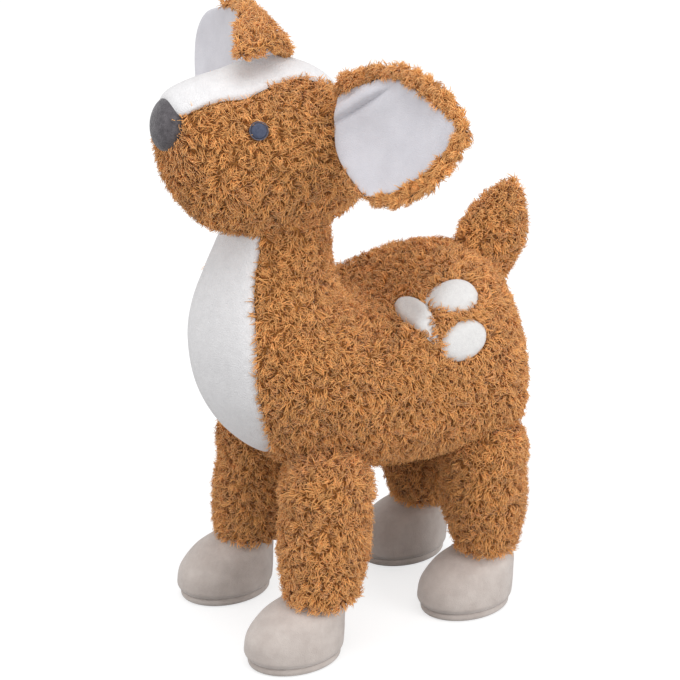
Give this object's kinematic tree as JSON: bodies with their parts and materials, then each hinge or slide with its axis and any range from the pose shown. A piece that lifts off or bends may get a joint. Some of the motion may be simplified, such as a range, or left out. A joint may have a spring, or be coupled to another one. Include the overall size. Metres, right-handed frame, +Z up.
{
  "type": "plush fawn",
  "caption": "Standing curly-plush fawn with white chest, blaze and flank spots, large lined ears, upright tail and velour boots; head, ears, tail and legs flex.",
  "frame": {"origin": "on the floor under the middle of the toy's whole extent, on its plane of symmetry to within about a millimetre", "axes": "+Z up, the fawn faces -Y and its left side is +X"},
  "size_m": [0.1973, 0.1808, 0.278],
  "materials": {
    "caramel_plush": "curly short-pile plush, matte",
    "white_plush": "short brushed plush, matte",
    "ear_velour": "smooth velour, matte",
    "spot_velour": "smooth velour, matte",
    "nose_velour": "velour with a slight sheen",
    "eye_thread": "satin-stitched embroidery thread",
    "foot_velour": "smooth velour, matte",
    "fibre": "loose polyester fibre"
  },
  "bodies": {
    "torso": {"chest_panel": "white_plush", "spot_left_1": "spot_velour", "spot_left_2": "spot_velour", "spot_left_3": "spot_velour", "spot_right_1": "spot_velour", "spot_right_2": "spot_velour", "spot_right_3": "spot_velour", "torso_cover": "caramel_plush", "torso_filling": "fibre"},
    "head": {"blaze": "white_plush", "eye_left": "eye_thread", "eye_right": "eye_thread", "head_cover": "caramel_plush", "head_filling": "fibre", "nose": "nose_velour"},
    "ear_left": {"ear_back_left": "caramel_plush", "ear_lining_left": "ear_velour"},
    "ear_right": {"ear_back_right": "caramel_plush", "ear_lining_right": "ear_velour"},
    "tail": {"tail_cover": "caramel_plush", "tail_filling": "fibre"},
    "leg_front_left": {"leg_front_left_boot": "foot_velour", "leg_front_left_cover": "caramel_plush", "leg_front_left_filling": "fibre", "leg_front_left_sole": "foot_velour"},
    "leg_front_right": {"leg_front_right_boot": "foot_velour", "leg_front_right_cover": "caramel_plush", "leg_front_right_filling": "fibre", "leg_front_right_sole": "foot_velour"},
    "leg_rear_left": {"leg_rear_left_boot": "foot_velour", "leg_rear_left_cover": "caramel_plush", "leg_rear_left_filling": "fibre", "leg_rear_left_sole": "foot_velour"},
    "leg_rear_right": {"leg_rear_right_boot": "foot_velour", "leg_rear_right_cover": "caramel_plush", "leg_rear_right_filling": "fibre", "leg_rear_right_sole": "foot_velour"}
  },
  "joints": [
    {"name": "head_nod", "type": "hinge", "parent": "torso", "child": "head", "pos_m": [0.00091, -0.03627, 0.196], "axis": [1, 0, 0], "range_deg": [-15, 15], "stiffness_Nm_per_rad": 0.4},
    {"name": "ear_left_flap", "type": "hinge", "parent": "head", "child": "ear_left", "pos_m": [0.03422, -0.02784, 0.23542], "axis": [0.2894, -0.3155, -0.9037], "range_deg": [-15, 20], "stiffness_Nm_per_rad": 0.05},
    {"name": "ear_right_flap", "type": "hinge", "parent": "head", "child": "ear_right", "pos_m": [-0.03239, -0.02784, 0.23542], "axis": [0.2226, 0.241, 0.9446], "range_deg": [-15, 20], "stiffness_Nm_per_rad": 0.05},
    {"name": "tail_wag", "type": "hinge", "parent": "torso", "child": "tail", "pos_m": [0.00091, 0.06679, 0.15546], "axis": [0, 0.6801, -0.7331], "range_deg": [-20, 20], "stiffness_Nm_per_rad": 0.06},
    {"name": "leg_front_left_swing", "type": "hinge", "parent": "torso", "child": "leg_front_left", "pos_m": [0.03191, -0.02897, 0.0765], "axis": [1, 0, 0], "range_deg": [-15, 15], "stiffness_Nm_per_rad": 0.6},
    {"name": "leg_front_right_swing", "type": "hinge", "parent": "torso", "child": "leg_front_right", "pos_m": [-0.03009, -0.02897, 0.0765], "axis": [1, 0, 0], "range_deg": [-15, 15], "stiffness_Nm_per_rad": 0.6},
    {"name": "leg_rear_left_swing", "type": "hinge", "parent": "torso", "child": "leg_rear_left", "pos_m": [0.02991, 0.05205, 0.0765], "axis": [1, 0, 0], "range_deg": [-15, 15], "stiffness_Nm_per_rad": 0.6},
    {"name": "leg_rear_right_swing", "type": "hinge", "parent": "torso", "child": "leg_rear_right", "pos_m": [-0.02809, 0.05205, 0.0765], "axis": [1, 0, 0], "range_deg": [-15, 15], "stiffness_Nm_per_rad": 0.6}
  ]
}
